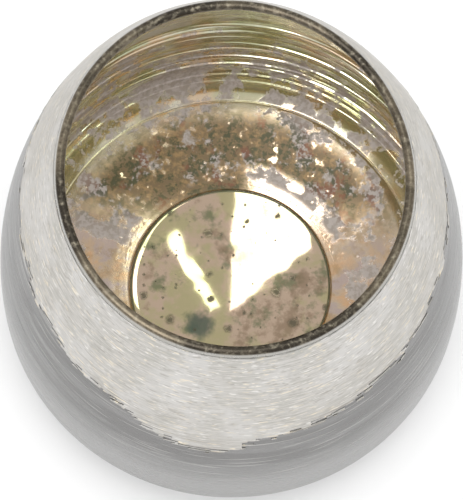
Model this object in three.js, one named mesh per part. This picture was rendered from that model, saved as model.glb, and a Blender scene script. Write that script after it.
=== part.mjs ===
// Tealight holder: a blown-glass bowl with a low round belly and a wide mouth.
// The glass is silvered in thin coats, each modelled as its own shell.
// Millimetres, +Z up, origin at the middle of the foot on the surface it stands on.
import * as THREE from 'three';

// Driving dimensions
const HEIGHT = 84.5;            // table to the top of the lip
const LIP_RADIUS = 34;          // outside of the mouth
const LIP_WALL = 1.9;           // whole wall at the lip, coats included
const BELLY_RADIUS = 48.3;      // widest ring, outside
const BELLY_HEIGHT = 16;        // height of the widest ring
const BELLY_WALL = 2.7;         // whole wall at the belly
const FOOT_RADIUS = 25;         // where the curve of the outside meets the table
const FOOT_EDGE = 1.5;          // the ground flat ends this far inside that curve
const SEAT_RADIUS = 22;         // mirrored floor disc, room for a 39 mm tealight
const SEAT_HEIGHT = 5;          // where the lining starts, above the table
const SEAT_STEP = 0.5;          // how far the floor disc lies below the lining
const PUNT_RADIUS = 17;         // hollow under the foot
const PUNT_DEPTH = 1;
const STROKE_LINE = 48;         // lowest edge of the brushed coat
const BAND_SKIRT = 0.4;         // how far the dark band runs down from the lip
const COAT = 0.3;               // thickness of each coat's shell
const GAP = 0.2;                // air between two shells
const COAT_START = 1.2;         // height of the belly coat's lower edge
const LINING_START = 0.2;       // height of the lining's lower edge above its seat
const BEVEL = 0.1;              // broken edge of the floor disc

// Facets
const SEGMENTS = 48;
const UNDER_STEPS = 6;
const SHOULDER_STEPS = 7;
const LIP_STEPS = 6;

const LIP_START = HEIGHT - LIP_WALL / 2;       // the round of the lip starts here
const BAND_FOOT = LIP_START - BAND_SKIRT;
const GLASS_DEPTH = COAT + GAP;                // glass face below the face of a coat
const DISC_TOP = SEAT_HEIGHT - SEAT_STEP;

// A wall outline in the plane of radius and height: a long quarter-ellipse above
// the belly that the mouth cuts off, and a short one below that the base cuts off.
function makeOutline(bellyRadius, lipRadius, baseRadius, baseHeight) {
  const fullHeight = (height, radius) => height / Math.sqrt(1 - (radius / bellyRadius) ** 2);
  return {
    bellyRadius,
    shoulder: fullHeight(HEIGHT - BELLY_HEIGHT, lipRadius),
    under: fullHeight(BELLY_HEIGHT - baseHeight, baseRadius),
  };
}

const OUTSIDE = makeOutline(BELLY_RADIUS, LIP_RADIUS, FOOT_RADIUS, 0);
const INSIDE = makeOutline(
  BELLY_RADIUS - BELLY_WALL,
  LIP_RADIUS - LIP_WALL,
  SEAT_RADIUS,
  SEAT_HEIGHT,
);

function pointAt(outline, height) {
  const reach = height > BELLY_HEIGHT ? outline.shoulder : outline.under;
  const away = (height - BELLY_HEIGHT) / reach;
  return new THREE.Vector2(outline.bellyRadius * Math.sqrt(1 - away ** 2), height);
}

// Points up the shoulder, evenly spaced in height.
function shoulderPoints(outline, low, high, steps) {
  const rise = (high - low) / steps;
  return Array.from({ length: steps + 1 }, (_, i) => pointAt(outline, low + rise * i));
}

// Points up the whole wall. Below the belly they are evenly spaced in angle, so
// that the curve under the bowl stays round.
function wallPoints(outline, low, high, shoulderSteps) {
  const start = Math.asin((BELLY_HEIGHT - low) / outline.under);
  const undercurve = Array.from({ length: UNDER_STEPS }, (_, i) => {
    const angle = start * (1 - i / UNDER_STEPS);
    return pointAt(outline, BELLY_HEIGHT - outline.under * Math.sin(angle));
  });
  return [...undercurve, ...shoulderPoints(outline, BELLY_HEIGHT, high, shoulderSteps)];
}

// Moves a rising curve at right angles to itself: a positive depth goes inwards.
function inset(points, depth) {
  return points.map((point, i) => {
    const before = points[Math.max(i - 1, 0)];
    const after = points[Math.min(i + 1, points.length - 1)];
    const along = after.clone().sub(before).normalize();
    return new THREE.Vector2(point.x - along.y * depth, point.y + along.x * depth);
  });
}

// The half-round over a wall, from its outer top point to its inner one.
function lipArc(outerTop, innerTop) {
  const centre = outerTop.clone().add(innerTop).multiplyScalar(0.5);
  return Array.from({ length: LIP_STEPS - 1 }, (_, i) => {
    const angle = (Math.PI * (i + 1)) / LIP_STEPS;
    return outerTop.clone().rotateAround(centre, angle);
  });
}

// Spins a closed profile round the bowl's axis.
function revolve(name, profile, material) {
  const geometry = new THREE.LatheGeometry(profile, SEGMENTS);
  geometry.rotateX(Math.PI / 2);
  const mesh = new THREE.Mesh(geometry, new THREE.MeshStandardMaterial(material));
  mesh.name = name;
  return mesh;
}

// The closed section between two rising curves, the outer one given first.
function section(outer, inner) {
  return [...outer, ...inner.toReversed(), outer[0].clone()];
}

// Clear glass: ground foot with a shallow punt, wall, round lip, flat floor.
function glassBowl() {
  const outerWall = wallPoints(OUTSIDE, COAT_START, LIP_START, SHOULDER_STEPS);
  const innerWall = wallPoints(INSIDE, SEAT_HEIGHT + LINING_START, LIP_START, SHOULDER_STEPS);
  const outer = inset(outerWall, GLASS_DEPTH);
  const inner = inset(innerWall, -GLASS_DEPTH);
  const floor = DISC_TOP - GLASS_DEPTH;
  const profile = [
    new THREE.Vector2(0, PUNT_DEPTH),
    new THREE.Vector2(PUNT_RADIUS * 0.7, PUNT_DEPTH * 0.7),
    new THREE.Vector2(PUNT_RADIUS, 0),
    new THREE.Vector2(FOOT_RADIUS - FOOT_EDGE, 0),
    ...outer,
    ...lipArc(outer.at(-1), inner.at(-1)),
    ...inner.toReversed(),
    new THREE.Vector2(SEAT_RADIUS + GAP, floor),
    new THREE.Vector2(0, floor),
  ];
  return revolve('glass_bowl', profile, {
    color: 0xc9cfc8,
    roughness: 0.08,
    metalness: 0,
    transparent: true,
    opacity: 0.35,
  });
}

// Bright silver, brushed with fine level lines, from the dark band down.
function brushedCoat() {
  const face = shoulderPoints(OUTSIDE, STROKE_LINE + GAP / 2, BAND_FOOT - GAP, 4);
  return revolve('brushed_coat', section(face, inset(face, COAT)), {
    color: 0xdcdcd8,
    roughness: 0.35,
    metalness: 0.9,
  });
}

// Smooth grey lustre round the belly, down to the ground foot.
function bellyCoat() {
  const face = wallPoints(OUTSIDE, COAT_START, STROKE_LINE - GAP / 2, 3);
  return revolve('belly_coat', section(face, inset(face, COAT)), {
    color: 0xa3a5a3,
    roughness: 0.2,
    metalness: 0.9,
  });
}

// Aged silver deposit on the inside of the wall, from the floor to the band.
function wallLining() {
  const low = SEAT_HEIGHT + LINING_START;
  const face = wallPoints(INSIDE, low, BAND_FOOT - GAP, SHOULDER_STEPS);
  return revolve('wall_lining', section(inset(face, -COAT), face), {
    color: 0xb9ab8c,
    roughness: 0.2,
    metalness: 1,
  });
}

// Mirrored disc on the floor, which the tealight stands on.
function floorMirror() {
  const edge = SEAT_RADIUS - GAP;
  const profile = [
    new THREE.Vector2(0, DISC_TOP - COAT),
    new THREE.Vector2(edge, DISC_TOP - COAT),
    new THREE.Vector2(edge, DISC_TOP - BEVEL),
    new THREE.Vector2(edge - BEVEL, DISC_TOP),
    new THREE.Vector2(0, DISC_TOP),
  ];
  return revolve('floor_mirror', profile, {
    color: 0xc8b98f,
    roughness: 0.12,
    metalness: 1,
  });
}

// Dark worn band that wraps over the lip.
function rimBand() {
  const outside = shoulderPoints(OUTSIDE, BAND_FOOT, LIP_START, 1);
  const inside = shoulderPoints(INSIDE, BAND_FOOT, LIP_START, 1);
  const face = [...outside, ...lipArc(outside.at(-1), inside.at(-1)), ...inside.toReversed()];
  const backOutside = inset(outside, COAT);
  const backInside = inset(inside, -COAT);
  const back = [
    ...backOutside,
    ...lipArc(backOutside.at(-1), backInside.at(-1)),
    ...backInside.toReversed(),
  ];
  return revolve('rim_band', section(face, back), {
    color: 0x5a4c35,
    roughness: 0.3,
    metalness: 0.7,
  });
}

const holder = new THREE.Group();
holder.add(glassBowl(), brushedCoat(), bellyCoat(), wallLining(), floorMirror(), rimBand());

export default holder;
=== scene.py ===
# %% [markdown]
# # A silvered tealight holder
# The real thing is a blown glass bowl with a low belly. Its outside is silvered and
# brushed, its inside is an aged mirror, and the glass only shows at the foot. The CAD
# model gives the exact places. This script makes the fine surfaces over them: brush
# lines, the ragged edge of the strokes, the rings in the lining, the pits and the lip.

# %% Load the frame
import math

import bpy
import numpy as np
from mathutils import Matrix, Vector


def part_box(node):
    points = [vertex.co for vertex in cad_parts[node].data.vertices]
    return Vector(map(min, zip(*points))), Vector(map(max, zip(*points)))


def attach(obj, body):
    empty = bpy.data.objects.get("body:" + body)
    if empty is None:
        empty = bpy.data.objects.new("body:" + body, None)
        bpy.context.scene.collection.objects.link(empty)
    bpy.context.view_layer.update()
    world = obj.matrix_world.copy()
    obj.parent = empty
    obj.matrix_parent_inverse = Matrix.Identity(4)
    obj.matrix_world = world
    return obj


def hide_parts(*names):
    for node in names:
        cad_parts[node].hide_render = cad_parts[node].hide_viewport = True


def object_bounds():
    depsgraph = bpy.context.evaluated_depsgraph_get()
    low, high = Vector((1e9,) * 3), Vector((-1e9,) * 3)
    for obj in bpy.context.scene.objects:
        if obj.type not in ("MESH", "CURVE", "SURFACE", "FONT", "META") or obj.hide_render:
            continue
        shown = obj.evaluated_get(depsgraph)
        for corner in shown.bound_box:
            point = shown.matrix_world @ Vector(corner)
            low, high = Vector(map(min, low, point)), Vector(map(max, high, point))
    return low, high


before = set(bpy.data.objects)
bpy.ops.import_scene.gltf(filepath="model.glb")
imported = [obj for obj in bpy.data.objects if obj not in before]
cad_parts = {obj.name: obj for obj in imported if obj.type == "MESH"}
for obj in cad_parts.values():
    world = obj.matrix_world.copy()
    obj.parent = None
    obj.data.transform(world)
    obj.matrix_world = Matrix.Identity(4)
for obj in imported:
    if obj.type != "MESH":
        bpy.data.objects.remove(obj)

cad_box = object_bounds()
HEIGHT = cad_box[1][2]
print("bowl: %.1f mm wide, %.1f mm tall" % (2000 * cad_box[1][0], 1000 * HEIGHT))


# %% [markdown]
# ## Where the viewer stands
# The bowl is looked into from above and a little in front, with a long lens, so the
# mouth is almost a circle and the mirrored floor shows through it. A lens can be aimed
# by turning the camera or by shifting the film. Turning is used here, because other
# views keep the shift. The three directions of the camera are written out from its
# height angle, and then it is leaned over by a few degrees.

# %% The camera
FILM_WIDTH = 36.0
LENS = 217.55507
LOOK_DOWN = math.radians(74.02)
LEAN = math.radians(2.57)
STAND_OFF = 0.525                  # from the middle of the mouth
AIM_RIGHT, AIM_UP = -0.0007, -0.0143

toward_viewer = Vector((0, -math.cos(LOOK_DOWN), math.sin(LOOK_DOWN)))
level_up = Vector((0, math.sin(LOOK_DOWN), math.cos(LOOK_DOWN)))
level_right = Vector((1, 0, 0))
view_right = math.cos(LEAN) * level_right + math.sin(LEAN) * level_up
view_up = math.cos(LEAN) * level_up - math.sin(LEAN) * level_right

camera_data = bpy.data.cameras.new("viewer")
camera_data.sensor_fit = "HORIZONTAL"
camera_data.sensor_width = FILM_WIDTH
camera_data.lens = LENS
camera_data.clip_start = 0.01
camera_data.clip_end = 20
camera = bpy.data.objects.new("viewer", camera_data)
bpy.context.collection.objects.link(camera)
mouth = Vector((0, 0, HEIGHT))
place = mouth + STAND_OFF * toward_viewer + AIM_RIGHT * view_right + AIM_UP * view_up
turn = Matrix((view_right, view_up, toward_viewer)).transposed()
camera.matrix_world = Matrix.Translation(place) @ turn.to_4x4()
bpy.context.scene.camera = camera
print("camera at", [round(v, 3) for v in place])


# %% [markdown]
# ## Floor and light
# A mirror shows the room as much as itself, so the room matters. The floor is a wide
# pale sheet, a hair below the foot so that the two don't share a plane. A big soft
# ceiling lights everything evenly, and it is kept out of the mirror's reflections, or
# the whole bowl would turn white. What the mirror does see is a plain grey room and five
# softboxes that light nothing else. The wedge and the strip show on the floor disc, and
# the other three catch the ledges and the step. Four of the five lie level, a metre up,
# and the wedge leans, from half a metre up to two metres.

# %% A pale floor
FLOOR_SIZE = 4.0
FLOOR_DROP = 0.00002


def flat_sheet(name, size, height):
    half = size / 2
    mesh = bpy.data.meshes.new(name)
    corners = [(-half, -half, height), (half, -half, height), (half, half, height), (-half, half, height)]
    mesh.from_pydata(corners, [], [(0, 1, 2, 3)])
    sheet = bpy.data.objects.new(name, mesh)
    bpy.context.collection.objects.link(sheet)
    return sheet


floor = flat_sheet("floor", FLOOR_SIZE, -FLOOR_DROP)

floor_paint = bpy.data.materials.new("pale_floor")
floor_paint.use_nodes = True
floor_shader = floor_paint.node_tree.nodes["Principled BSDF"]
floor_shader.inputs["Base Color"].default_value = (0.9, 0.9, 0.9, 1)
floor_shader.inputs["Roughness"].default_value = 0.8
floor.data.materials.append(floor_paint)

# %% Soft lights
ROOM_GREY = 0.68
CEILING_GLOW = 1.9
WEDGE_GLOW = 4.0
STRIP_GLOW = 3.6
WHITE = (1, 1, 1)
PALE_GREEN = (0.88, 1.0, 0.84)


def softbox(name, corner, along, across, brightness, tint, mirror_only=True):
    """A rectangular light, given one corner and its two sides."""
    corner, along, across = Vector(corner), Vector(along), Vector(across)
    across = across - along * (across.dot(along) / along.length_squared)
    data = bpy.data.lights.new(name, "AREA")
    data.shape = "RECTANGLE"
    data.size = along.length
    data.size_y = across.length
    data.energy = brightness * math.pi * along.length * across.length
    data.color = tint
    lamp = bpy.data.objects.new(name, data)
    bpy.context.collection.objects.link(lamp)
    middle = corner + (along + across) / 2
    first = along.normalized()
    second = across.normalized()
    back = first.cross(second)
    if back.dot(middle) < 0:
        second, back = -second, -back
    turned = Matrix((first, second, back)).transposed()
    lamp.matrix_world = Matrix.Translation(middle) @ turned.to_4x4()
    lamp.visible_camera = False
    lamp.visible_diffuse = not mirror_only
    lamp.visible_glossy = mirror_only
    return lamp


softbox("ceiling", (-1.2, -1.2, 1.6), (2.4, 0, 0), (0, 2.4, 0), CEILING_GLOW, WHITE, mirror_only=False)
softbox("wedge_softbox", (-0.0015, 0.302, 1.0), (0, -1.0, 1.0), (-0.345, -0.512, -0.507), WEDGE_GLOW, WHITE)
softbox("strip_softbox", (0.060, 0.208, 1.0), (-0.050, 0.088, 0), (0.011, 0.006, 0), STRIP_GLOW, PALE_GREEN)
softbox("side_softbox", (0.125, 0.02, 1.0), (0, 0.30, 0), (0.09, 0, 0), STRIP_GLOW, PALE_GREEN)
softbox("band_softbox", (-0.070, -0.125, 1.0), (-0.200, 0.093, 0), (0.021, 0.045, 0), STRIP_GLOW, PALE_GREEN)
softbox("front_softbox", (0.30, -0.30, 1.0), (0.14, 0, 0), (0, 0.26, 0), STRIP_GLOW, PALE_GREEN)

world = bpy.data.worlds.new("room")
world.use_nodes = True
room_colour = world.node_tree.nodes["Background"].inputs["Color"]
room_colour.default_value = (ROOM_GREY, ROOM_GREY, ROOM_GREY, 1)
bpy.context.scene.world = world
bpy.context.scene.view_settings.view_transform = "Standard"
print(len(bpy.data.lights), "lamps")


# %% [markdown]
# ## The bowl's outline
# Both faces of the wall are made of two quarter-ellipses that meet at the widest ring:
# a long one that the mouth cuts off, and a short one that the base cuts off. The same
# rule made the CAD solids, so surfaces made from it lie on them. The sizes are read
# from the CAD nodes where they can be.

# %% Outlines of the two faces
MM = 0.001
BELLY_HEIGHT = 16 * MM
FOOT_RADIUS = 25 * MM
SEAT_RADIUS = 22 * MM
SEAT_HEIGHT = 5 * MM
BELLY_WALL = 2.7 * MM
LIP_WALL = 1.9 * MM
LIP_RADIUS = 34 * MM
LIP_TOP = 84.5 * MM
BELLY_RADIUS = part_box("belly_coat")[1][0]
BAND_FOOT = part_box("rim_band")[0][2]
LIP_START = LIP_TOP - LIP_WALL / 2
COAT_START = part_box("belly_coat")[0][2]


class Outline:
    """The radius of one face of the wall at any height."""

    def __init__(self, belly, lip, base_radius, base_height):
        self.belly = belly
        self.shoulder = (LIP_TOP - BELLY_HEIGHT) / math.sqrt(1 - (lip / belly) ** 2)
        self.under = (BELLY_HEIGHT - base_height) / math.sqrt(1 - (base_radius / belly) ** 2)

    def radius(self, height):
        height = np.asarray(height, float)
        reach = np.where(height > BELLY_HEIGHT, self.shoulder, self.under)
        away = (height - BELLY_HEIGHT) / reach
        return self.belly * np.sqrt(np.clip(1 - away ** 2, 0, 1))

    def points(self, low, high, spacing):
        """Radius and height up the wall, evenly spaced along the surface."""
        fine = np.concatenate([
            BELLY_HEIGHT - (BELLY_HEIGHT - low) * (1 - np.linspace(0, 1, 2000)) ** 0.5,
            np.linspace(BELLY_HEIGHT, high, 2000)[1:],
        ]) if low < BELLY_HEIGHT else np.linspace(low, high, 3000)
        radii = self.radius(fine)
        steps = np.hypot(np.diff(radii), np.diff(fine))
        along = np.concatenate([[0], np.cumsum(steps)])
        count = int(round(along[-1] / spacing)) + 1
        heights = np.interp(np.linspace(0, along[-1], count), along, fine)
        return np.stack([self.radius(heights), heights], 1)


outside = Outline(BELLY_RADIUS, LIP_RADIUS, FOOT_RADIUS, 0)
inside = Outline(BELLY_RADIUS - BELLY_WALL, LIP_RADIUS - LIP_WALL, SEAT_RADIUS, SEAT_HEIGHT)
print("outside radius at half height: %.1f mm" % (outside.radius(HEIGHT / 2) / MM))


# %% [markdown]
# ## Spinning a wall
# A lathe modifier could spin an outline, but then every ring would be perfect. Here a
# wall is a grid of points, rings up and turns round, so that any point can be moved a
# few hundredths of a millimetre before the faces are made. A grid's back is closed with
# a second grid, so each coat is a thin solid shell.

# %% Grid helpers
OVAL = 0.021
OVAL_LONG_WAY = math.radians(110)


def normals_of(curve):
    """Unit vectors at right angles to a rising curve, away from the axis."""
    along = np.gradient(curve, axis=0)
    along /= np.linalg.norm(along, axis=1, keepdims=True)
    return np.stack([along[:, 1], -along[:, 0]], 1)


def spun(curve, turns, lift=None):
    """Points of a curve spun round the axis. lift[ring, turn] moves each along its normal."""
    angles = np.linspace(0, 2 * math.pi, turns, endpoint=False)
    out = normals_of(curve)
    lift = np.zeros((len(curve), turns)) if lift is None else lift
    radius = curve[:, :1] + out[:, :1] * lift
    height = curve[:, 1:] + out[:, 1:] * lift
    return np.stack([radius * np.cos(angles), radius * np.sin(angles), height], 2)


def oval(points):
    """The mouth was blown a little out of round; the belly and foot are true."""
    points = points.reshape(-1, 3).copy()
    share = np.clip((points[:, 2] - BELLY_HEIGHT) / (LIP_TOP - BELLY_HEIGHT), 0, 1) ** 1.5
    angle = np.arctan2(points[:, 1], points[:, 0])
    points[:, :2] *= 1 + (OVAL * share * np.cos(2 * (angle - OVAL_LONG_WAY)))[:, None]
    return points


def mesh_from(name, points, faces):
    mesh = bpy.data.meshes.new(name)
    mesh.from_pydata(oval(points).tolist(), [], faces)
    mesh.validate()
    mesh.polygons.foreach_set("use_smooth", [True] * len(mesh.polygons))
    piece = bpy.data.objects.new(name, mesh)
    bpy.context.collection.objects.link(piece)
    return piece


def band_faces(rings, turns, closed=False):
    """Quads of a grid of rings; closed joins the last ring to the first."""
    last = rings if closed else rings - 1
    lower = np.arange(last)[:, None] * turns + np.arange(turns)
    upper = (np.arange(1, last + 1)[:, None] % rings) * turns + np.arange(turns)
    quads = np.stack([lower, np.roll(lower, -1, 1), np.roll(upper, -1, 1), upper], 2)
    return quads.reshape(-1, 4).tolist()


def shell(name, curve, turns, thickness, lift=None):
    """A thin closed shell: a face along the curve and a back behind it."""
    front = spun(curve, turns, lift)
    back = spun(curve, turns, np.full((len(curve), turns), -thickness))
    grid = np.concatenate([front, back[::-1]])
    return mesh_from(name, grid, band_faces(len(grid), turns, closed=True))


# %% [markdown]
# ## The glass
# Clear blown glass carries everything, but both its faces are coated, so it only shows
# at the foot: a ground flat ring and the shallow punt inside it. It is one closed solid,
# spun finer than the CAD one so that the foot is round.

# %% Glass body
COAT_DEPTH = 0.5 * MM
PUNT_RADIUS = 17 * MM
PUNT_DEPTH = 1 * MM
FOOT_EDGE = 1.5 * MM
GLASS_TURNS = 192
SEAT_SINK = 1.1 * MM               # the glass floor's edge, under the seat
DISH_SINK = 0.5 * MM               # how much lower its middle is


def moved(curve, depth):
    return curve - normals_of(curve) * depth


def punt_curve(steps):
    share = np.linspace(0.04, 1, steps)
    return np.stack([PUNT_RADIUS * share, PUNT_DEPTH * np.cos(share * math.pi / 2) ** 1.5], 1)


def glass_section():
    lip_outer = moved(outside.points(COAT_START, LIP_START, 1.2 * MM), COAT_DEPTH)
    lip_inner = moved(inside.points(SEAT_HEIGHT + 0.2 * MM, LIP_START, 1.2 * MM), -COAT_DEPTH)
    floor_edge = SEAT_HEIGHT - SEAT_SINK
    return np.concatenate([
        punt_curve(14),
        [[PUNT_RADIUS + 0.6 * MM, 0.0], [FOOT_RADIUS - FOOT_EDGE, 0.0]],
        lip_outer,
        round_over(lip_outer[-1], lip_inner[-1], 8),
        lip_inner[::-1],
        [[SEAT_RADIUS, floor_edge], [SEAT_RADIUS * 0.6, floor_edge - DISH_SINK],
         [SEAT_RADIUS * 0.1, floor_edge - 1.6 * DISH_SINK]],
    ])


def round_over(outer_top, inner_top, steps):
    """The half-round over the wall, between its two top points."""
    centre = (outer_top + inner_top) / 2
    arm = outer_top - centre
    angles = np.linspace(0, math.pi, steps + 2)[1:-1, None]
    side = np.array([-arm[1], arm[0]])
    return centre + arm * np.cos(angles) + side * np.sin(angles)


def spun_solid(name, section, turns, lift=None):
    """A solid whose section starts and ends near the axis, closed there by two discs."""
    grid = spun(section, turns, lift)
    faces = band_faces(len(section), turns)
    last = (len(section) - 1) * turns
    faces.append(list(range(turns))[::-1])
    faces.append(list(range(last, last + turns)))
    return mesh_from(name, grid, faces)


glass = spun_solid("blown_glass", glass_section(), GLASS_TURNS)
print("glass:", len(glass.data.polygons), "faces")


# %% [markdown]
# ## Repeatable chance
# Handwork is never even, so the strokes, rings and pits need chance, but the same
# chance every time the script runs. Smooth random values round the bowl are made from a
# few waves with whole numbers of turns, so that they meet where the circle closes.

# %% Random helpers
def chance(seed):
    return np.random.default_rng(seed)


def wander(rng, turns, rows, slowest, quickest):
    """Smooth random values, about -1 to 1, for rows of points round the bowl."""
    angles = np.linspace(0, 2 * math.pi, turns, endpoint=False)
    total = np.zeros((rows, turns))
    waves = np.arange(slowest, quickest + 1)
    for wave in waves:
        size = rng.normal(0, 1, (rows, 1))
        phase = rng.uniform(0, 2 * math.pi, (rows, 1))
        total += size * np.cos(wave * angles + phase)
    return total / math.sqrt(len(waves))


# %% [markdown]
# ## The belly coat
# Under the brush strokes lies a smooth grey lustre that runs down round the belly to
# the foot. It has only the faint rings left by turning the bowl on the wheel, a few
# thousandths of a millimetre high. It runs on up under the brushed silver, as the real
# undercoat does, so that the ragged edge has something behind it.

# %% Belly coat
LAYER = 0.06 * MM
UNDERCOAT_TOP = 70 * MM
COAT = 0.3 * MM
BELLY_TURNS = 288
WHEEL_RING = 0.004 * MM


def belly_coat():
    curve = moved(outside.points(COAT_START, UNDERCOAT_TOP, 0.5 * MM), LAYER)
    rng = chance(3)
    rings = np.convolve(rng.normal(0, 1, len(curve)), np.hanning(7), "same")
    lift = WHEEL_RING * rings[:, None] + np.zeros((len(curve), BELLY_TURNS))
    return shell("belly_lustre", curve, BELLY_TURNS, COAT - LAYER, lift)


belly = belly_coat()
print("belly coat:", len(belly.data.polygons), "faces")


# %% [markdown]
# ## The brushed coat
# The bright silver is brushed on while the bowl turns, so it is all fine level lines,
# and its lower edge is ragged where each hair of the brush ran dry. A picture of that
# edge would look painted from close by, so it is made of real strokes: the coat is a
# grid with one row for each hair, and a row simply stops where its hair ran dry. The
# edge sways with the hand and dips at the front.

# %% Brushed coat
HAIR = 0.26 * MM
BRUSH_TURNS = 840
EDGE_HIGH = 62.5 * MM
EDGE_SWAY = 8 * MM
EDGE_DIP = 7 * MM
DIP_AT = math.radians(-97)
DIP_WIDTH = math.radians(14)
LINE_DEPTH = 0.0045 * MM
EDGE_BEAD = 0.10 * MM
BEAD_WIDTH = 0.7 * MM
COAT_LOWEST = 44 * MM
EDGE_WANDER = 0.7 * MM
DRY_SLOW = 0.9 * MM
DRY_QUICK = 0.9 * MM
DRY_HAIR = 0.5 * MM


def edge_height(angles):
    """Height of the strokes' lower edge round the bowl."""
    from_front = (angles + math.pi / 2 + math.pi) % (2 * math.pi) - math.pi
    from_dip = (angles - DIP_AT + math.pi) % (2 * math.pi) - math.pi
    sway = EDGE_SWAY * np.cos(from_front) ** 2
    return EDGE_HIGH - sway - EDGE_DIP * np.exp(-(from_dip / DIP_WIDTH) ** 2)


def brushed_coat():
    rng = chance(11)
    curve = outside.points(COAT_LOWEST, BAND_FOOT - 0.1 * MM, HAIR)
    rows = len(curve)
    angles = np.linspace(0, 2 * math.pi, BRUSH_TURNS, endpoint=False)
    edge = edge_height(angles) + EDGE_WANDER * wander(rng, BRUSH_TURNS, 1, 3, 30)[0]
    dry = DRY_SLOW * wander(rng, BRUSH_TURNS, rows, 2, 20)
    dry += DRY_QUICK * wander(rng, BRUSH_TURNS, rows, 20, 70) + rng.normal(0, DRY_HAIR, (rows, 1))
    above = curve[:, 1:] - edge
    present = above > dry
    level = rng.normal(0, LINE_DEPTH, (rows, 1))
    bead = EDGE_BEAD * np.exp(-np.clip(above, 0, None) / BEAD_WIDTH)
    lift = level + 0.5 * LINE_DEPTH * wander(rng, BRUSH_TURNS, rows, 10, 90) - 2 * LINE_DEPTH
    return strokes("brushed_silver", curve, lift + bead, present)


def strokes(name, curve, lift, present):
    """The coat's rows as thin closed strips, kept only where the hair was wet."""
    rows, turns = lift.shape
    front = spun(curve, turns, lift)
    back = spun(curve, turns, np.full((rows, turns), -LAYER * 1.2))
    kept = present[:-1] & present[1:]
    kept &= np.roll(kept, 1, 1) | np.roll(kept, -1, 1)
    points = np.concatenate([front.reshape(-1, 3), back.reshape(-1, 3)])
    behind = rows * turns
    index = np.arange(behind).reshape(rows, turns)
    following = np.roll(index, -1, 1)
    a, b, c, d = index[:-1], following[:-1], following[1:], index[1:]
    quads = [np.stack([a, b, c, d], 2)[kept]]
    quads.append(np.stack([d, c, b, a], 2)[kept] + behind)
    none = np.zeros((1, turns), bool)
    below = kept & ~np.concatenate([none, kept[:-1]])
    above = kept & ~np.concatenate([kept[1:], none])
    start = kept & ~np.roll(kept, 1, 1)
    end = kept & ~np.roll(kept, -1, 1)
    for edge, first, second in ((below, b, a), (above, d, c), (start, a, d), (end, c, b)):
        quads.append(np.stack([first, second, second + behind, first + behind], 2)[edge])
    faces = np.concatenate(quads)
    used, compact = np.unique(faces, return_inverse=True)
    return mesh_from(name, points[used], compact.reshape(faces.shape).tolist())


brushed = brushed_coat()
print("brushed coat:", len(brushed.data.polygons), "faces")


# %% [markdown]
# ## The lining
# Inside, silver was laid on the glass and then aged. Marks that catch light have to be
# real shape, so they are moved points, not a bump. First comes the small step round the
# seat, which the lining and the disc both use.

# %% The step round the seat
STEP_INNER = 19.6 * MM
STEP_CREASE = 21.5 * MM
STEP_OUTER = 23.0 * MM
DISH_SLOPE = 0.076
WALL_SLOPE = 0.17
CREASE_SLOPE = 0.9
CREASE_WIDTH = 0.30 * MM
STEP_POINTS = 60


def step_section():
    """The moulded step round the seat, from the dish of the disc up to the wall.

    The slope grows a little, peaks at the crease and falls back to the wall's own."""
    radius = np.linspace(STEP_INNER, STEP_OUTER, STEP_POINTS)
    share = (radius - STEP_INNER) / (STEP_OUTER - STEP_INNER)
    gentle = DISH_SLOPE + (WALL_SLOPE - DISH_SLOPE) * share
    crease = CREASE_SLOPE * np.exp(-((radius - STEP_CREASE) / CREASE_WIDTH) ** 2)
    slope = gentle + crease
    rise = np.concatenate([[0], np.cumsum((slope[1:] + slope[:-1]) / 2 * np.diff(radius))])
    wall_at = np.interp(STEP_OUTER, *wall_foot())
    return np.stack([radius, wall_at + rise - rise[-1]], 1)


def wall_foot():
    heights = np.linspace(SEAT_HEIGHT, SEAT_HEIGHT + 2 * MM, 200)
    return inside.radius(heights), heights


step = step_section()
print("step: rises %.2f mm" % ((step[-1, 1] - step[0, 1]) / MM))


# %% [markdown]
# ### Marks in the lining
# Three kinds of mark make the mirror lively, and each is worked out as a lift for every
# point of the grid. Low ripples run all round. Small rounded ledges face up and catch
# the lamps as bright arcs, and they are deeper on one side of the bowl. Shallow dents
# a few millimetres across break up what the mirror shows.

# %% Ripples, ledges and dents
RIPPLES = 30
LEDGE_HEIGHTS = [10, 12.6, 14, 17.5, 20, 23.5, 25, 30, 34, 39, 44, 48, 51]   # in millimetres
LEDGE_DEPTH = 0.42 * MM
LEDGE_FLANK = 0.22 * MM
LEDGE_RUN = 2.6 * MM
LEDGE_DEEP_AT = math.radians(45)


def distance_along(curve):
    return np.concatenate([[0], np.cumsum(np.hypot(*np.diff(curve, axis=0).T))])


def ripple_profile(curve, rng):
    """Low ripples, as a sum of narrow humps along the wall."""
    along = distance_along(curve)
    total = np.zeros(len(curve))
    for _ in range(RIPPLES):
        centre = rng.uniform(0, along[-1])
        width = rng.uniform(0.5, 1.6) * MM
        total += rng.normal(0, 0.02) * width * np.exp(-((along - centre) / width) ** 2)
    return total


def ledges(curve, turns, rng):
    """Small rounded ledges that face up, and fade in and out round the bowl."""
    along = distance_along(curve)
    total = np.zeros((len(curve), turns))
    angles = np.linspace(0, 2 * math.pi, turns, endpoint=False)
    leaning = 0.62 + 0.43 * np.cos(angles - LEDGE_DEEP_AT)
    for height in LEDGE_HEIGHTS:
        centre = np.interp(height * MM, curve[:, 1], along)
        depth = LEDGE_DEPTH * rng.uniform(0.5, 1.2)
        above = np.clip((along - centre) / LEDGE_FLANK, 0, 1)
        below = np.clip((centre - along) / LEDGE_RUN, 0, 1)
        rounded = 1 - above ** 2 * (3 - 2 * above)
        ledge = np.where(along > centre, rounded, (1 - below) ** 2)
        fading = np.clip(0.8 + 0.45 * wander(rng, turns, 1, 1, 7), 0.1, 1.3) * leaning
        total -= depth * ledge[:, None] * fading
    return total


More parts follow.
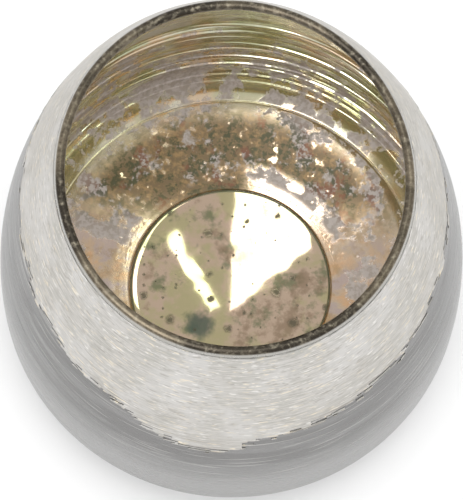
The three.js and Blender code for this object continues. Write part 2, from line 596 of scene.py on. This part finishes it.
def dents(curve, turns, rng, spacing, quickest):
    """Shallow dents a few millimetres across, which break up what the mirror shows."""
    place = distance_along(curve) / spacing
    lower = np.floor(place).astype(int)
    share = (place - lower)[:, None]
    share = share ** 2 * (3 - 2 * share)
    waves = wander(rng, turns, lower[-1] + 2, 3, quickest)
    return waves[lower] * (1 - share) + waves[lower + 1] * share


# %% [markdown]
# ### The lining's grid
# A ledge turns within a fifth of a millimetre, and the wall between ledges hardly
# turns at all. So the rings of points are close together only at the ledges. The back
# of the lining is never seen, so it has only every eighth ring. Low down on the far
# side, where acid ate the silver, the lining is roughened point by point.

# %% Lining
LINING_TURNS = 480
WALL_SPACING = 0.30 * MM
FINE_SPACING = 0.045 * MM
BACK_STEP = 8
DENT_SPACING = 3.0 * MM
DENT_DEPTH = 0.022 * MM
PIT_TOP = 8.6 * MM
PIT_FADE = 2 * MM
PIT_SIZE = 0.010 * MM
RINGS_WITHOUT_PITS = 24


def wall_curve(start):
    """The wall's inside, with extra rings of points where a ledge turns sharply."""
    wall = inside.points(start, BAND_FOOT - 0.1 * MM, FINE_SPACING)
    coarse = np.arange(len(wall)) % round(WALL_SPACING / FINE_SPACING) == 0
    coarse[[0, -1]] = True
    along = distance_along(wall)
    for height in LEDGE_HEIGHTS:
        centre = np.interp(height * MM, wall[:, 1], along)
        coarse |= (along > centre - LEDGE_FLANK / 2) & (along < centre + 1.3 * LEDGE_FLANK)
    return wall[coarse]


def wall_lining():
    rng = chance(29)
    curve = np.concatenate([step[step[:, 0] > STEP_CREASE], wall_curve(step[-1, 1] + 0.02 * MM)])
    rows = len(curve)
    angles = np.linspace(0, 2 * math.pi, LINING_TURNS, endpoint=False)
    sway = 1 + 0.3 * wander(rng, LINING_TURNS, 1, 1, 6)
    lift = ripple_profile(curve, rng)[:, None] * sway + ledges(curve, LINING_TURNS, rng)
    calm_foot = np.clip(distance_along(curve) / DENT_SPACING - 0.7, 0, 1)[:, None]
    lift = lift + DENT_DEPTH * calm_foot * dents(curve, LINING_TURNS, rng, DENT_SPACING, 44)
    pitted = np.clip((PIT_TOP - curve[:, 1:]) / PIT_FADE, 0, 1) * np.clip(2 * np.sin(angles), 0, 1)
    pitted[:RINGS_WITHOUT_PITS] = 0
    lift = lift + pitted * PIT_SIZE * rng.exponential(1, (rows, LINING_TURNS))
    front = spun(curve, LINING_TURNS, lift)
    sparse = np.unique(np.append(np.arange(0, rows, BACK_STEP), rows - 1))
    back = spun(curve, LINING_TURNS, np.full((rows, LINING_TURNS), COAT))[sparse]
    grid = np.concatenate([back, front[::-1]])
    return mesh_from("aged_lining", grid, band_faces(len(grid), LINING_TURNS, closed=True))


lining = wall_lining()
print("lining:", len(lining.data.polygons), "faces")


# %% [markdown]
# ## The floor mirror
# The tealight stands on a mirrored disc inside a moulded ring. Pressing the hot glass
# left the disc slightly hollow, like a shaving mirror, so a lamp a metre away shows on it
# as a sharp small shape. Dents of a few thousandths of a millimetre are enough to make
# the edges of that shape wander. They die away towards the middle and the ring.

# %% Floor disc
DISC_TURNS = 360
DISC_RINGS = 80
DISC_MIDDLE = 0.3 * MM
DISC_THICKNESS = 0.28 * MM
DISC_DENT_DEPTH = 0.0026 * MM
DISC_DENT_SPACING = 2.6 * MM
CALM_MIDDLE = 4 * MM
CALM_RUN = 9 * MM
CALM_RIM = 1.5 * MM


def floor_disc():
    rng = chance(53)
    ring = step[step[:, 0] <= STEP_CREASE]
    radii = np.linspace(DISC_MIDDLE, STEP_INNER, DISC_RINGS)[:-1]
    dish = ring[0, 1] - DISH_SLOPE * (STEP_INNER - radii ** 2 / STEP_INNER) / 2
    top = np.concatenate([np.stack([radii, dish], 1), ring])
    under = top[::-6] - np.array([0, DISC_THICKNESS])
    section = np.concatenate([under[::-1], top[::-1]])
    from_middle = np.clip((top[:, 0] - CALM_MIDDLE) / CALM_RUN, 0, 1)
    from_rim = np.clip((STEP_CREASE - top[:, 0]) / CALM_RIM, 0, 1)
    lively = (from_middle * from_rim)[:, None]
    waves = DISC_DENT_DEPTH * lively * dents(top, DISC_TURNS, rng, DISC_DENT_SPACING, 18)
    lift = np.concatenate([np.zeros((len(under), DISC_TURNS)), waves[::-1]])
    return spun_solid("mirror_disc", section, DISC_TURNS, lift)


disc = floor_disc()
print("disc:", len(disc.data.polygons), "faces")


# %% [markdown]
# ## The rim band
# The lip was fired smooth, and the coats end on it in a dark worn band about as wide as
# the wall is thick. It isn't quite even: the gather sags a little where it was cut off.

# %% Rim band
RIM_TURNS = 480
RIM_SPACING = 0.25 * MM
LIP_SAG = 0.012 * MM
LIP_INSET = 0.02 * MM


def rim_band():
    outer = outside.points(BAND_FOOT, LIP_START, RIM_SPACING)
    inner = inside.points(BAND_FOOT, LIP_START, RIM_SPACING)
    face = np.concatenate([outer, round_over(outer[-1], inner[-1], 10), inner[::-1]])
    back_outer = moved(outer, COAT)
    back_inner = moved(inner, -COAT)
    back = np.concatenate([back_outer, round_over(back_outer[-1], back_inner[-1], 10), back_inner[::-1]])
    rng = chance(41)
    lift = LIP_SAG * wander(rng, RIM_TURNS, 1, 2, 30) + np.zeros((len(face), RIM_TURNS))
    grid = np.concatenate([spun(face, RIM_TURNS, lift - LIP_INSET), spun(back, RIM_TURNS)[::-1]])
    return mesh_from("worn_rim", grid, band_faces(len(grid), RIM_TURNS, closed=True))


rim = rim_band()
print("rim:", len(rim.data.polygons), "faces")


# %% [markdown]
# ## Finishes
# Every finish is mixed from procedural noise, read in the object's own space, so it
# stays on the surface when the bowl is turned. Most finishes are built in the same way:
# `noise` makes a soft grey field, `between` cuts it to a share from 0 to 1, and `blend`
# lays a colour over another by that share.

# %% Node helpers
def new_finish(name):
    material = bpy.data.materials.new(name)
    material.use_nodes = True
    return material, material.node_tree, material.node_tree.nodes["Principled BSDF"]


def feed(tree, socket, value):
    """Gives a socket a link or a plain value, whichever it was handed."""
    if isinstance(value, bpy.types.NodeSocket):
        tree.links.new(value, socket)
    else:
        socket.default_value = value


def maths(tree, operation, a, b=0.0):
    made = tree.nodes.new("ShaderNodeMath")
    made.operation = operation
    feed(tree, made.inputs[0], a)
    feed(tree, made.inputs[1], b)
    return made.outputs[0]


def add(tree, a, b):
    return maths(tree, "ADD", a, b)


def times(tree, a, b):
    return maths(tree, "MULTIPLY", a, b)


def either(tree, a, b):
    """The larger of two shares, for a mark that either of them makes."""
    return maths(tree, "MAXIMUM", a, b)


def less(tree, a, b):
    return maths(tree, "SUBTRACT", a, b)


def vector_maths(tree, operation, *values):
    made = tree.nodes.new("ShaderNodeVectorMath")
    made.operation = operation
    for socket, value in zip(made.inputs, values):
        feed(tree, socket, value)
    return made.outputs


# %% Colour and noise helpers
def noise(tree, place, fineness, detail=4.0, roughness=0.55):
    made = tree.nodes.new("ShaderNodeTexNoise")
    tree.links.new(place, made.inputs["Vector"])
    made.inputs["Scale"].default_value = fineness
    made.inputs["Detail"].default_value = detail
    made.inputs["Roughness"].default_value = roughness
    return made.outputs["Fac"]


def between(tree, value, low, high, to_low=0.0, to_high=1.0):
    """Maps low..high to to_low..to_high, and holds the ends."""
    made = tree.nodes.new("ShaderNodeMapRange")
    made.interpolation_type = "SMOOTHSTEP"
    made.inputs["From Min"].default_value = low
    made.inputs["From Max"].default_value = high
    made.inputs["To Min"].default_value = to_low
    made.inputs["To Max"].default_value = to_high
    feed(tree, made.inputs["Value"], value)
    return made.outputs[0]


def blend(tree, share, first, second):
    """A colour between two colours, each a link or three numbers."""
    made = tree.nodes.new("ShaderNodeMix")
    made.data_type = "RGBA"
    feed(tree, made.inputs["Factor"], share)
    colour_sockets = [socket for socket in made.inputs if socket.type == "RGBA"]
    for socket, colour in zip(colour_sockets, (first, second)):
        linked = isinstance(colour, bpy.types.NodeSocket)
        feed(tree, socket, colour if linked else (*colour, 1))
    return next(socket for socket in made.outputs if socket.type == "RGBA")


def bump(tree, height, strength, distance):
    made = tree.nodes.new("ShaderNodeBump")
    made.inputs["Strength"].default_value = strength
    made.inputs["Distance"].default_value = distance
    tree.links.new(height, made.inputs["Height"])
    return made.outputs[0]


# %% [markdown]
# ### Places on the bowl
# A mark often belongs to one part of the bowl: low down, at the back, near the ring. So
# a finish can ask how high, how far back or how far from the axis a point is. Streaks
# need a space that is stretched along the rings: the direction from the axis, which
# changes slowly round the bowl, with the height, which changes quickly.

# %% Place helpers
def object_place(tree):
    return tree.nodes.new("ShaderNodeTexCoord").outputs["Object"]


def along_axis(tree, axis):
    """One coordinate: X is to the right, Y to the back, and Z up."""
    parts = tree.nodes.new("ShaderNodeSeparateXYZ")
    tree.links.new(object_place(tree), parts.inputs[0])
    return parts.outputs[axis]


def flat_place(tree):
    """The place without its height."""
    return vector_maths(tree, "MULTIPLY", object_place(tree), (1, 1, 0))["Vector"]


def radius_of(tree):
    """The distance from the axis."""
    return vector_maths(tree, "LENGTH", flat_place(tree))["Value"]


def ring_place(tree, around, up):
    """A space for streaks: around is their fineness along a ring, up across the rings."""
    direction = vector_maths(tree, "NORMALIZE", flat_place(tree))["Vector"]
    turned = vector_maths(tree, "MULTIPLY", direction, (around, around, around))["Vector"]
    raised = vector_maths(tree, "MULTIPLY", object_place(tree), (0, 0, up))["Vector"]
    return vector_maths(tree, "ADD", turned, raised)["Vector"]


# %% [markdown]
# ### Brushed silver
# Bright and slightly warm, with short dashes where the brush skipped: white ones, dull ones
# and pale gold ones, partly real gold and partly painted glints, painted stronger near the
# strokes' edge as painted highlights. A few long dark rings run along that edge. Roughness
# and a very small bump follow the finest streaks, as they do in real paint. The edge tint
# keeps the sides of the bowl from going white.

# %% Brushed silver finish
SILVER = (0.575, 0.555, 0.53)
SILVER_SHADE = (0.43, 0.42, 0.39)
SILVER_PALE = (0.62, 0.61, 0.60)
SILVER_EDGE = (0.80, 0.79, 0.77, 1)
WHITE_FLECK = (0.88, 0.86, 0.83)
# pale gold: partly real gold showing through, partly painted glints
GOLD_AND_PAINTED_GLINT = (0.86, 0.76, 0.58)
DARK_FLECK = (0.30, 0.275, 0.245)
EDGE_ZONE = (1.5 * MM, 5 * MM)     # above the edge, from full to none
STREAK_BUMP = 0.02 * MM


def above_edge(tree):
    """Height above the strokes' edge, which is lower at the front and back."""
    facing = maths(tree, "DIVIDE", along_axis(tree, "Y"), radius_of(tree))
    sway = times(tree, times(tree, facing, facing), EDGE_SWAY)
    dip = between(tree, facing, -0.90, -1.0, 0.0, 0.7 * EDGE_DIP)
    return add(tree, less(tree, along_axis(tree, "Z"), EDGE_HIGH), add(tree, sway, dip))


def brushed_finish():
    material, tree, shader = new_finish("brushed_silver")
    near_edge = between(tree, above_edge(tree), *EDGE_ZONE, 1.0, 0.0)
    cloudy = noise(tree, object_place(tree), 90.0, 4.0, 0.6)
    fine = noise(tree, ring_place(tree, 9.0, 4000.0), 1.0, 3.0)
    white = noise(tree, ring_place(tree, 17.0, 2200.0), 1.0, 2.0)
    gold = noise(tree, ring_place(tree, 14.0, 2000.0), 1.0, 2.0)
    dull = noise(tree, ring_place(tree, 16.0, 2300.0), 1.0, 2.0)
    long_rings = noise(tree, ring_place(tree, 1.6, 2600.0), 1.0, 2.0)

    colour = blend(tree, between(tree, fine, 0.38, 0.62), SILVER_SHADE, SILVER)
    colour = blend(tree, between(tree, cloudy, 0.46, 0.62, 0.0, 0.55), colour, SILVER_PALE)
    colour = blend(tree, between(tree, dull, 0.58, 0.66, 0.0, 0.50), colour, DARK_FLECK)
    colour = blend(tree, between(tree, white, 0.60, 0.68, 0.0, 0.5), colour, WHITE_FLECK)
    # painted glints: the pale gold dashes are partly real gold and partly painted highlights, painted
    # stronger near the strokes' edge
    gold_and_glint_share = add(tree, 0.5, times(tree, near_edge, 0.5))
    gold_and_glint_dash = times(tree, between(tree, gold, 0.60, 0.68), gold_and_glint_share)
    colour = blend(tree, gold_and_glint_dash, colour, GOLD_AND_PAINTED_GLINT)
    dark_ring = times(tree, between(tree, long_rings, 0.60, 0.66), times(tree, near_edge, 0.8))
    colour = blend(tree, dark_ring, colour, DARK_FLECK)

    tree.links.new(colour, shader.inputs["Base Color"])
    shader.inputs["Metallic"].default_value = 1.0
    shader.inputs["Specular Tint"].default_value = SILVER_EDGE
    tree.links.new(between(tree, fine, 0.3, 0.7, 0.30, 0.42), shader.inputs["Roughness"])
    tree.links.new(bump(tree, fine, 0.3, STREAK_BUMP), shader.inputs["Normal"])
    return material


# %% [markdown]
# ### Grey lustre
# Smooth and darker, with soft wide rings and a few thin bright ones. From the belly to
# the foot the lustre is painted paler, a painted reflection of the bright floor below it.

# %% Belly finish
LUSTRE = (0.21, 0.206, 0.202)
LUSTRE_LIGHT = (0.26, 0.256, 0.252)
LUSTRE_LINE = (0.55, 0.54, 0.52)
# a paler grey for the foot: a painted reflection of the bright floor
LUSTRE_PAINTED_REFLECTION = (0.44, 0.435, 0.43)
LUSTRE_EDGE = (0.78, 0.78, 0.78, 1)
PAINTED_REFLECTION_HEIGHTS = (22 * MM, 44 * MM)
RING_BUMP = 0.03 * MM


def lustre_finish():
    material, tree, shader = new_finish("grey_lustre")
    wide = noise(tree, ring_place(tree, 1.5, 260.0), 1.0, 2.0)
    thin = noise(tree, ring_place(tree, 2.6, 2600.0), 1.0, 1.0)
    # painted reflection: the lustre is made paler towards the foot in place of the bright floor it faces
    painted_reflection = between(tree, along_axis(tree, "Z"), *PAINTED_REFLECTION_HEIGHTS, 0.95, 0.0)

    colour = blend(tree, between(tree, wide, 0.4, 0.65), LUSTRE, LUSTRE_LIGHT)
    colour = blend(tree, between(tree, thin, 0.64, 0.70, 0.0, 0.8), colour, LUSTRE_LINE)
    colour = blend(tree, painted_reflection, colour, LUSTRE_PAINTED_REFLECTION)

    tree.links.new(colour, shader.inputs["Base Color"])
    shader.inputs["Metallic"].default_value = 1.0
    shader.inputs["Specular Tint"].default_value = LUSTRE_EDGE
    tree.links.new(between(tree, thin, 0.3, 0.7, 0.22, 0.30), shader.inputs["Roughness"])
    tree.links.new(bump(tree, wide, 0.2, RING_BUMP), shader.inputs["Normal"])
    return material


# %% [markdown]
# ### Aged lining: where it has aged
# The lining hasn't aged evenly. Low down at the back it is pitted, all but a stretch
# beside the ring on the right, which is still clean. At the front and sides it is
# flushed with peach. The silver next to the ring and on the lowest ledge is rubbed clean
# of grey. Each of these is a share from 0 to 1, faded over a few millimetres.

# %% Zones of the lining
def pitted_zone(tree):
    height = along_axis(tree, "Z")
    beside_ring = between(tree, height, 5.6 * MM, 6.2 * MM, 1.0, 0.0)
    to_the_right = between(tree, along_axis(tree, "X"), 0.0, 6 * MM)
    clean = times(tree, beside_ring, to_the_right)
    low_down = between(tree, height, 7.6 * MM, 10.4 * MM, 1.0, 0.0)
    at_the_back = between(tree, along_axis(tree, "Y"), 9 * MM, 22 * MM)
    return times(tree, times(tree, low_down, less(tree, 1.0, clean)), at_the_back)


def flushed_zone(tree):
    low = between(tree, along_axis(tree, "Z"), 10 * MM, 34 * MM, 1.0, 0.0)
    at_the_front = between(tree, along_axis(tree, "Y"), 4 * MM, 18 * MM, 1.0, 0.0)
    return times(tree, low, at_the_front)


def rubbed_zone(tree):
    height = along_axis(tree, "Z")
    beside_ring = between(tree, radius_of(tree), 23.2 * MM, 25.2 * MM, 1.0, 0.0)
    over_ledge = between(tree, height, 9.8 * MM, 10.0 * MM)
    under_ledge = between(tree, height, 10.1 * MM, 10.3 * MM, 1.0, 0.0)
    return either(tree, beside_ring, times(tree, times(tree, over_ledge, under_ledge), 0.8))


# %% [markdown]
# ### Aged lining: what it has become
# Four things lie over each other. The mirror itself is tinted, from peach gold to olive.
# In the pitted zone the silver is gone down to a speckled brown. Islands of it have gone
# matt lilac grey, fewer of them high on the wall. Last come the dark olive and rust pits.
# Whatever isn't mirror is matt, and that makes the sparkle between the pits.

# %% Tinted mirror of the lining
PEACH = (0.96, 0.77, 0.55)
OLIVE = (0.74, 0.75, 0.50)
PALE = (0.96, 0.96, 0.78)
BOTTOM_PEACH = (0.62, 0.46, 0.33)
SIDE_PEACH = (0.78, 0.50, 0.29)
SIDE_ROSE = (0.58, 0.47, 0.44)
BARE_BROWN = (0.47, 0.31, 0.145)
BOTTOM_HEIGHTS = (6.5 * MM, 13 * MM)


def tinted_mirror(tree, broad, patch, flushed):
    streak = noise(tree, ring_place(tree, 4.0, 700.0), 1.0, 5.0)
    drawn = noise(tree, ring_place(tree, 5.0, 900.0), 1.0, 5.0, 0.6)
    bottom = between(tree, along_axis(tree, "Z"), *BOTTOM_HEIGHTS, 0.85, 0.0)
    peach_streak = times(tree, flushed, between(tree, drawn, 0.46, 0.66))
    rose_streak = times(tree, flushed, between(tree, drawn, 0.40, 0.50, 0.8, 0.0))
    dusty = times(tree, flushed, between(tree, patch, 0.50, 0.62, 0.0, 0.55))

    colour = blend(tree, between(tree, broad, 0.42, 0.56), OLIVE, PEACH)
    colour = blend(tree, between(tree, streak, 0.48, 0.62), colour, PALE)
    colour = blend(tree, bottom, colour, BOTTOM_PEACH)
    colour = blend(tree, peach_streak, colour, SIDE_PEACH)
    colour = blend(tree, rose_streak, colour, SIDE_ROSE)
    return blend(tree, dusty, colour, BARE_BROWN)


# %% Grey islands and pits
THINNING_HEIGHTS = (16 * MM, 56 * MM)


def grey_islands(tree, broad, patch, pitted, flushed):
    """The share of matt grey, from three sizes of patch added together."""
    medium = noise(tree, object_place(tree), 170.0, 3.0, 0.5)
    cover = add(tree, times(tree, patch, 0.38), times(tree, medium, 0.32))
    cover = add(tree, cover, times(tree, broad, 0.3))
    high_up = between(tree, along_axis(tree, "Z"), *THINNING_HEIGHTS, 0.0, 0.10)
    fewer = either(tree, high_up, times(tree, flushed, 0.055))
    fewer = either(tree, fewer, times(tree, pitted, 0.030))
    island = between(tree, less(tree, cover, fewer), 0.475, 0.530)
    return times(tree, island, less(tree, 1.0, rubbed_zone(tree)))


def pits(tree, grain, patch, pitted):
    olive_part = between(tree, noise(tree, object_place(tree), 210.0, 4.0, 0.55), 0.42, 0.50)
    eaten = times(tree, between(tree, grain, 0.43, 0.53), olive_part)
    return times(tree, times(tree, eaten, pitted), between(tree, patch, 0.36, 0.50))


# %% Aged lining finish
LILAC = (0.71, 0.655, 0.655)
LILAC_DEEP = (0.56, 0.50, 0.475)
BARE_DARK = (0.27, 0.19, 0.10)
PIT_OLIVE = (0.095, 0.105, 0.05)
RUST = (0.28, 0.12, 0.065)
LINING_BUMP = 0.03 * MM


def lining_finish():
    material, tree, shader = new_finish("aged_lining")
    place = object_place(tree)
    broad = noise(tree, place, 60.0, 4.0, 0.6)
    patch = noise(tree, place, 300.0, 7.0, 0.68)
    grain = noise(tree, place, 1000.0, 4.0, 0.6)
    pitted = pitted_zone(tree)
    flushed = flushed_zone(tree)
    island = grey_islands(tree, broad, patch, pitted, flushed)
    bare = times(tree, pitted, between(tree, noise(tree, place, 420.0, 4.0), 0.30, 0.42))
    pit = pits(tree, grain, patch, pitted)
    rusty = between(tree, noise(tree, place, 160.0, 3.0), 0.52, 0.60)

    speckled = blend(tree, between(tree, grain, 0.40, 0.62), BARE_DARK, BARE_BROWN)
    lilac = blend(tree, between(tree, grain, 0.42, 0.58), LILAC, LILAC_DEEP)
    colour = blend(tree, bare, tinted_mirror(tree, broad, patch, flushed), speckled)
    colour = blend(tree, island, colour, lilac)
    colour = blend(tree, times(tree, pit, 0.93), colour, blend(tree, rusty, PIT_OLIVE, RUST))

    matt = either(tree, island, times(tree, either(tree, pit, bare), 0.75))
    tree.links.new(colour, shader.inputs["Base Color"])
    tree.links.new(between(tree, matt, 0.0, 1.0, 0.84, 0.05), shader.inputs["Metallic"])
    tree.links.new(between(tree, matt, 0.0, 1.0, 0.13, 0.55), shader.inputs["Roughness"])
    tree.links.new(bump(tree, add(tree, grain, island), 0.25, LINING_BUMP), shader.inputs["Normal"])
    return material


# %% [markdown]
# ### Floor mirror
# The same silver, less worn: a gold and pink mirror with olive and brown stains, one
# teal stain of soot, round dark specks and a green-grey line where the ring creases. The
# specks come from a cell pattern: one spot in a cell, kept in some of the cells, with a
# size of its own, and pulled a little out of round.

# %% Specks
SPECK_PULL = 0.2                   # of a cell


def round_spots(tree, place, cells_in_metre, share_kept, size):
    """Soft roundish spots, one in a cell, in that share of the cells."""
    pulling = tree.nodes.new("ShaderNodeTexNoise")
    tree.links.new(place, pulling.inputs["Vector"])
    pulling.inputs["Scale"].default_value = 5 * cells_in_metre
    pulling.inputs["Detail"].default_value = 3
    pull = SPECK_PULL / cells_in_metre
    shifted = vector_maths(tree, "MULTIPLY_ADD", pulling.outputs["Color"], (pull, pull, 0), place)

    cells = tree.nodes.new("ShaderNodeTexVoronoi")
    cells.voronoi_dimensions = "2D"
    cells.inputs["Scale"].default_value = cells_in_metre
    tree.links.new(shifted["Vector"], cells.inputs["Vector"])

    chances = tree.nodes.new("ShaderNodeSeparateColor")
    tree.links.new(cells.outputs["Color"], chances.inputs[0])
    kept = maths(tree, "LESS_THAN", chances.outputs[0], share_kept)
    edge = times(tree, add(tree, chances.outputs[1], 0.4), size)
    across = maths(tree, "DIVIDE", cells.outputs["Distance"], edge)
    return times(tree, kept, between(tree, across, 0.3, 1.3, 1.0, 0.0))


# %% Floor finish
FLOOR_GOLD = (0.56, 0.49, 0.28)
FLOOR_PINK = (0.66, 0.50, 0.37)
FLOOR_OLIVE = (0.20, 0.225, 0.12)
FLOOR_BROWN = (0.33, 0.23, 0.15)
SPECK = (0.075, 0.07, 0.045)
SOOT_TEAL = (0.10, 0.14, 0.11)
SOOT_AT = (-6.0 * MM, -8.6 * MM, 5 * MM)
SOOT_SIZE = 4.0 * MM
CREASE_GREEN = (0.20, 0.23, 0.15)
CREASE_LINE = (STEP_CREASE - 0.5 * MM, STEP_CREASE - 0.3 * MM)


def soot_share(tree, place):
    away = vector_maths(tree, "DISTANCE", place, SOOT_AT)["Value"]
    ragged = noise(tree, place, 260.0, 5.0, 0.6)
    reach = add(tree, away, times(tree, ragged, SOOT_SIZE))
    return between(tree, reach, SOOT_SIZE, 1.5 * SOOT_SIZE, 0.85, 0.0)


def floor_finish():
    material, tree, shader = new_finish("floor_mirror")
    place = object_place(tree)
    cloud = noise(tree, place, 130.0, 4.0, 0.6)
    stain = noise(tree, place, 170.0, 5.0, 0.62)
    brown = noise(tree, place, 110.0, 6.0, 0.65)
    large_specks = round_spots(tree, place, 150.0, 0.6, 0.13)
    small_specks = round_spots(tree, place, 420.0, 0.35, 0.12)
    speck = times(tree, either(tree, large_specks, small_specks), 0.85)
    crease = between(tree, radius_of(tree), *CREASE_LINE)
    dull = either(tree, speck, times(tree, crease, 0.8))

    colour = blend(tree, between(tree, cloud, 0.42, 0.58), FLOOR_GOLD, FLOOR_PINK)
    colour = blend(tree, between(tree, stain, 0.54, 0.68, 0.0, 0.8), colour, FLOOR_OLIVE)
    colour = blend(tree, between(tree, brown, 0.55, 0.66, 0.0, 0.7), colour, FLOOR_BROWN)
    colour = blend(tree, soot_share(tree, place), colour, SOOT_TEAL)
    colour = blend(tree, dull, colour, blend(tree, crease, SPECK, CREASE_GREEN))

    tree.links.new(colour, shader.inputs["Base Color"])
    tree.links.new(less(tree, 1.0, times(tree, dull, 0.5)), shader.inputs["Metallic"])
    tree.links.new(between(tree, dull, 0.4, 0.85, 0.03, 0.4), shader.inputs["Roughness"])
    return material


# %% [markdown]
# ### Worn rim
# Burnt olive brown, mottled, with a little shine. The burn only covers the top of the
# lip, and its edge wanders. Below it the band is the same dull silver as its neighbours.

# %% Rim finish
RIM_DARK = (0.045, 0.037, 0.027)
RIM_BROWN = (0.22, 0.18, 0.125)
RIM_LIGHT = (0.42, 0.37, 0.28)
BURN_EDGE = LIP_START + 0.9 * MM
BURN_WANDER = 0.8 * MM


def rim_finish():
    material, tree, shader = new_finish("worn_rim")
    place = object_place(tree)
    slow = noise(tree, place, 40.0, 3.0, 0.55)
    quick = noise(tree, place, 900.0, 5.0, 0.6)
    wandering = add(tree, along_axis(tree, "Z"), times(tree, slow, BURN_WANDER))
    unburnt = between(tree, wandering, BURN_EDGE - 0.3 * MM, BURN_EDGE + 0.2 * MM, 0.9, 0.0)

    colour = blend(tree, between(tree, slow, 0.40, 0.62), RIM_BROWN, RIM_DARK)
    colour = blend(tree, between(tree, quick, 0.48, 0.70, 0.0, 0.55), colour, RIM_LIGHT)
    colour = blend(tree, unburnt, colour, SILVER_SHADE)

    tree.links.new(colour, shader.inputs["Base Color"])
    shader.inputs["Metallic"].default_value = 0.7
    tree.links.new(between(tree, quick, 0.3, 0.7, 0.22, 0.45), shader.inputs["Roughness"])
    return material


# %% [markdown]
# ### Clear glass
# Real glass that bends light, with a trace of grey green in it.

# %% Glass finish
GLASS_GREEN = (0.90, 0.94, 0.91)
GLASS_CLEAR = (0.95, 0.97, 0.95)
GLASS_BENDING = 1.5


def glass_finish():
    material, tree, shader = new_finish("clear_glass")
    tint = noise(tree, object_place(tree), 40.0, 2.0)
    tree.links.new(blend(tree, tint, GLASS_GREEN, GLASS_CLEAR), shader.inputs["Base Color"])
    shader.inputs["Transmission Weight"].default_value = 1.0
    shader.inputs["Roughness"].default_value = 0.03
    shader.inputs["IOR"].default_value = GLASS_BENDING
    return material


# %% [markdown]
# ## Putting it together
# Each piece takes its finish, stands for its CAD solid, and rides on the one body that
# the holder is.

# %% Dress and place the pieces
PIECES = [
    (glass, "glass_bowl", glass_finish),
    (belly, "belly_coat", lustre_finish),
    (brushed, "brushed_coat", brushed_finish),
    (lining, "wall_lining", lining_finish),
    (disc, "floor_mirror", floor_finish),
    (rim, "rim_band", rim_finish),
]
for piece, node, finish in PIECES:
    piece.data.materials.append(finish())
    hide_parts(node)
    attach(piece, "root")
print(len(PIECES), "pieces in place")
